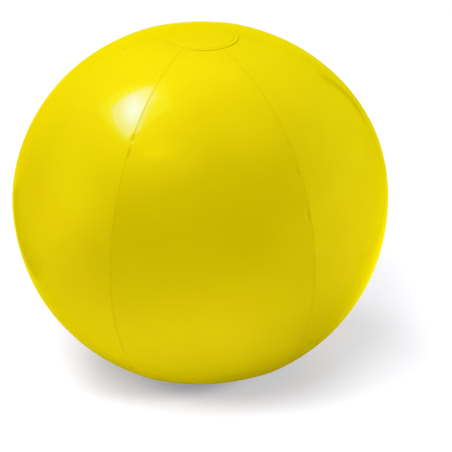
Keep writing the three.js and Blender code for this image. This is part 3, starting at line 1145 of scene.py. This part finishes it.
def towards(azimuth, elevation):
    """A direction: azimuth 0 is behind the ball, 90 to its right, in degrees."""
    azimuth, elevation = math.radians(azimuth), math.radians(elevation)
    level = math.cos(elevation)
    return Vector((math.sin(azimuth) * level, math.cos(azimuth) * level, math.sin(elevation)))


def lamp(name, azimuth, elevation, distance, size, level, lit_only=None):
    """A round soft lamp aimed at the ball; level 1 makes a white face that meets it read as white."""
    data = bpy.data.lights.new(name, "AREA")
    data.shape = "DISK"
    data.size = size
    data.energy = level * (math.pi * distance) ** 2
    light = bpy.data.objects.new(name, data)
    light.location = CENTRE + towards(azimuth, elevation) * distance
    light.rotation_euler = (CENTRE - light.location).to_track_quat("-Z", "Y").to_euler()
    light.visible_glossy = False
    light.visible_camera = False
    if lit_only:
        light.light_linking.receiver_collection = lit_only
    bpy.context.scene.collection.objects.link(light)


def studio_lamps(floor):
    """Soft lamps on the ball, and lamps that light the floor alone for the shadow's form."""
    floor_alone = bpy.data.collections.new("floor_alone")
    floor_alone.objects.link(floor)
    for name, azimuth, elevation, size, level in BALL_LAMPS:
        lamp(name, azimuth, elevation, BALL_LAMP_DISTANCE, size, level)
    for name, azimuth, elevation, size, level in FLOOR_LAMPS:
        lamp(name, azimuth, elevation, FLOOR_LAMP_DISTANCE, size, level, floor_alone)


# Room and floor

def lobe(tree, direction, azimuth, elevation, width):
    """1 in the given direction, fading away from it over about width degrees."""
    facing = vector_calculated(tree, "DOT_PRODUCT", direction, towards(azimuth, elevation), "Value")
    away = calculated(tree, "SUBTRACT", facing, 1.0)
    return exponential(tree, away, 1 - math.cos(math.radians(width)))


def glows(tree, direction):
    """How strongly the film mirrors the room in a direction."""
    total = 0.0
    for azimuth, elevation, width, strength in GLOSS_LOBES:
        part = calculated(tree, "MULTIPLY", lobe(tree, direction, azimuth, elevation, width), strength)
        total = calculated(tree, "ADD", part, total)
    return total


def studio_world():
    """White to the camera, an even soft room to the ball, and glows to its gloss."""
    world = bpy.data.worlds.new("studio")
    bpy.context.scene.world = world
    world.use_nodes = True
    world.cycles.sampling_method = "NONE"
    tree = world.node_tree
    background = tree.nodes["Background"]
    direction = add_node(tree, "ShaderNodeTexCoord").outputs["Generated"]
    ray = add_node(tree, "ShaderNodeLightPath")
    room = blended(tree, ray.outputs["Is Glossy Ray"], AMBIENT, glows(tree, direction))
    tree.links.new(blended(tree, ray.outputs["Is Camera Ray"], room, 1.0), background.inputs["Strength"])
    colour = blended_colour(tree, ray.outputs["Is Glossy Ray"], WHITE, GLOSS_COLOUR)
    tree.links.new(colour, background.inputs["Color"])


def shaded_and_lit(tree, shaded, lit, tint):
    """A surface that is partly shaded by the lamps and partly lit by itself."""
    tinted = add_node(tree, "ShaderNodeVectorMath", operation="SCALE")
    tinted.inputs[0].default_value = tint
    feed(tree, tinted.inputs["Scale"], shaded)
    diffuse = add_node(tree, "ShaderNodeBsdfDiffuse")
    tree.links.new(tinted.outputs["Vector"], diffuse.inputs["Color"])
    return added(tree, diffuse.outputs["BSDF"], emitted(tree, tint, lit))


def mirrored_floor(tree, away, beyond):
    """The floor in the ball's gloss: the glows of the room's lower half, shaded at the ball's foot."""
    shine = glows(tree, vector_calculated(tree, "NORMALIZE", away))
    near = calculated(tree, "MINIMUM", exponential(tree, beyond, UNDER_BALL_REACH), 1.0)
    shaded = calculated(tree, "MULTIPLY", shine, calculated(tree, "MULTIPLY", near, MIRRORED_SHADED))
    lit = calculated(tree, "MULTIPLY", shine, calculated(tree, "SUBTRACT", 1.0, near))
    return shaded_and_lit(tree, shaded, lit, FLOOR_GLOSS_COLOUR)


def watched_floor(tree, distance, beyond):
    """The floor to the camera: white where no shadow falls, with a painted cool glow near the ball, and
    white far off.
    """
    fading = exponential(tree, beyond, FLOOR_COOLING_REACH)
    painted_cool_glow = emitted(tree, FLOOR_COOL, calculated(tree, "MULTIPLY", fading, FLOOR_COOLING))
    pale = shaded_and_lit(tree, FLOOR_SHADED, FLOOR_LIT, FLOOR_TINT)
    far = ranged(tree, distance, 0.0, 1.0, FLOOR_WHITE_FROM, FLOOR_WHITE_AT)
    return chosen(tree, far, added(tree, pale, painted_cool_glow), emitted(tree, WHITE, 1.0))


def studio_floor():
    bpy.ops.mesh.primitive_plane_add(size=FLOOR_SIZE)
    floor = bpy.context.object
    floor.name = "floor"
    material, tree = bare_material("pale_floor")
    ray = add_node(tree, "ShaderNodeLightPath")
    place = add_node(tree, "ShaderNodeNewGeometry").outputs["Position"]
    away = vector_calculated(tree, "SUBTRACT", place, CENTRE)
    distance = vector_calculated(tree, "LENGTH", away, result="Value")
    beyond = calculated(tree, "SUBTRACT", UNDER_BALL, distance)
    watched = calculated(tree, "MAXIMUM", ray.outputs["Is Camera Ray"], ray.outputs["Is Transmission Ray"])
    to_eye = chosen(tree, watched, matt_grey(tree, FLOOR_BOUNCE), watched_floor(tree, distance, beyond))
    surface = chosen(tree, ray.outputs["Is Glossy Ray"], to_eye, mirrored_floor(tree, away, beyond))
    tree.links.new(surface, tree.nodes["Material Output"].inputs["Surface"])
    floor.data.materials.append(material)
    return floor


# Cards that only reflections see

def new_card(name, points, faces):
    """A card, its material's tree, and the clear shader for what is behind it."""
    mesh = bpy.data.meshes.new(name)
    mesh.from_pydata(points, [], faces)
    card = bpy.data.objects.new(name, mesh)
    bpy.context.scene.collection.objects.link(card)
    material, tree = bare_material(name)
    mesh.materials.append(material)
    clear = add_node(tree, "ShaderNodeBsdfTransparent")
    return card, tree, clear.outputs["BSDF"]


def finish_card(card, tree, surface):
    """Gives the card its surface and hides it from all but reflections."""
    tree.links.new(surface, tree.nodes["Material Output"].inputs["Surface"])
    card.visible_camera = False
    card.visible_diffuse = False
    card.visible_shadow = False
    card.visible_transmission = False


def glow_card(name, azimuth, elevation, distance, corners, tint, strength):
    """A card that adds its light to what is behind it; its strength is a number or makes nodes."""
    points = [(x, y, 0) for x, y in corners]
    card, tree, clear = new_card(name, points, [tuple(range(len(points)))])
    aim = towards(azimuth, elevation)
    across = Vector((0, 0, 1)).cross(aim).normalized()
    turn = Matrix((across, aim.cross(across), aim)).transposed().to_4x4()
    card.matrix_world = Matrix.Translation(CENTRE + aim * distance) @ turn
    level = strength(tree) if callable(strength) else strength
    finish_card(card, tree, added(tree, clear, emitted(tree, tint, level)))


def card_places(tree):
    """Where a point is on its card, as outputs X and Y."""
    place = add_node(tree, "ShaderNodeTexCoord").outputs["Object"]
    parts = add_node(tree, "ShaderNodeSeparateXYZ")
    tree.links.new(place, parts.inputs["Vector"])
    return parts.outputs


def reflector_glow(tree):
    """Strongest along the card's lower edge, and fading upwards and to both sides."""
    place = card_places(tree)
    sides = bell_node(tree, scaled_square(tree, place["X"], REFLECTOR_REACH))
    upwards = ranged(tree, place["Y"], REFLECTOR_GLOW, 0.0, REFLECTOR[0][1], REFLECTOR[2][1])
    return calculated(tree, "MULTIPLY", sides, upwards)


def tube_glow(tree):
    """The inner cloth's light, strongest at the lamp's tube behind it."""
    place = card_places(tree)
    squares = []
    for axis, at, reach in zip("XY", TUBE_AT, TUBE_REACH):
        squares.append(scaled_square(tree, calculated(tree, "SUBTRACT", place[axis], at), reach))
    fading = bell_node(tree, calculated(tree, "ADD", *squares))
    return calculated(tree, "ADD", calculated(tree, "MULTIPLY", fading, TUBE_GLOW), INNER_GLOW)


def glow_cards():
    front = SOFTBOX_DISTANCE + SOFTBOX_DEPTH
    glow_card("softbox_front", *SOFTBOX_TOWARDS, front, SOFTBOX, SOFTBOX_TINT, SOFTBOX_GLOW)
    glow_card("softbox_cloth", *SOFTBOX_TOWARDS, SOFTBOX_DISTANCE, INNER_CLOTH, CLOTH_TINT, tube_glow)
    glow_card("reflector", *REFLECTOR_TOWARDS, REFLECTOR_DISTANCE, REFLECTOR, REFLECTOR_TINT, reflector_glow)


def dark_card(name, points, faces, darkness):
    """A card whose darkness changes evenly along a direction."""
    direction, places, shares = darkness
    card, tree, clear = new_card(name, points, faces)
    place = add_node(tree, "ShaderNodeNewGeometry").outputs["Position"]
    along = vector_calculated(tree, "DOT_PRODUCT", place, direction, "Value")
    density = ranged(tree, along, *shares, *places)
    finish_card(card, tree, chosen(tree, density, clear, matt_grey(tree, CARD_BLACK)))


def dark_cards():
    """A thin dark edge that runs over the floor and up the backdrop, and a dark sheet's corner."""
    route = smooth_route(SHEET_EDGE, SHEET_EDGE_STEPS)
    points = []
    for index, at in enumerate(route):
        side = sideways(route, index)
        half = SHEET_EDGE_WIDTH / 2 * np.linalg.norm(at)
        points += [(*(at - side * half), CARD_LIFT), (*(at + side * half), CARD_LIFT)]
    dark_card("sheet_edge", points, grid_faces(len(route), 2), SHEET_EDGE_DARKNESS)
    x, y = SHEET_EDGE[0]
    half = BACKDROP_EDGE_WIDTH / 2 * math.hypot(x, y)
    upright = [(x - half, y + half, 0), (x + half, y - half, 0)]
    upright += [(px, py, BACKDROP_EDGE_HEIGHT) for px, py, _ in upright[::-1]]
    dark_card("backdrop_edge", upright, [(0, 1, 2, 3)], BACKDROP_EDGE_DARKNESS)
    sheet = [(x, y, CARD_LIFT) for x, y in DARK_SHEET]
    dark_card("dark_sheet", sheet, [tuple(range(len(sheet)))], DARK_SHEET_DARKNESS)


for number in range(PANELS):
    panel(number)
end_disc("top_end_disc", "top_disc", True)
end_disc("bottom_end_disc", "bottom_disc", False)
valve_flange()
valve_sleeve()
valve_stem()
valve_plug()
plug_strap()
check_flap()

camera()
studio_world()
studio_lamps(studio_floor())
glow_cards()
dark_cards()

bpy.context.scene.view_settings.view_transform = "Standard"
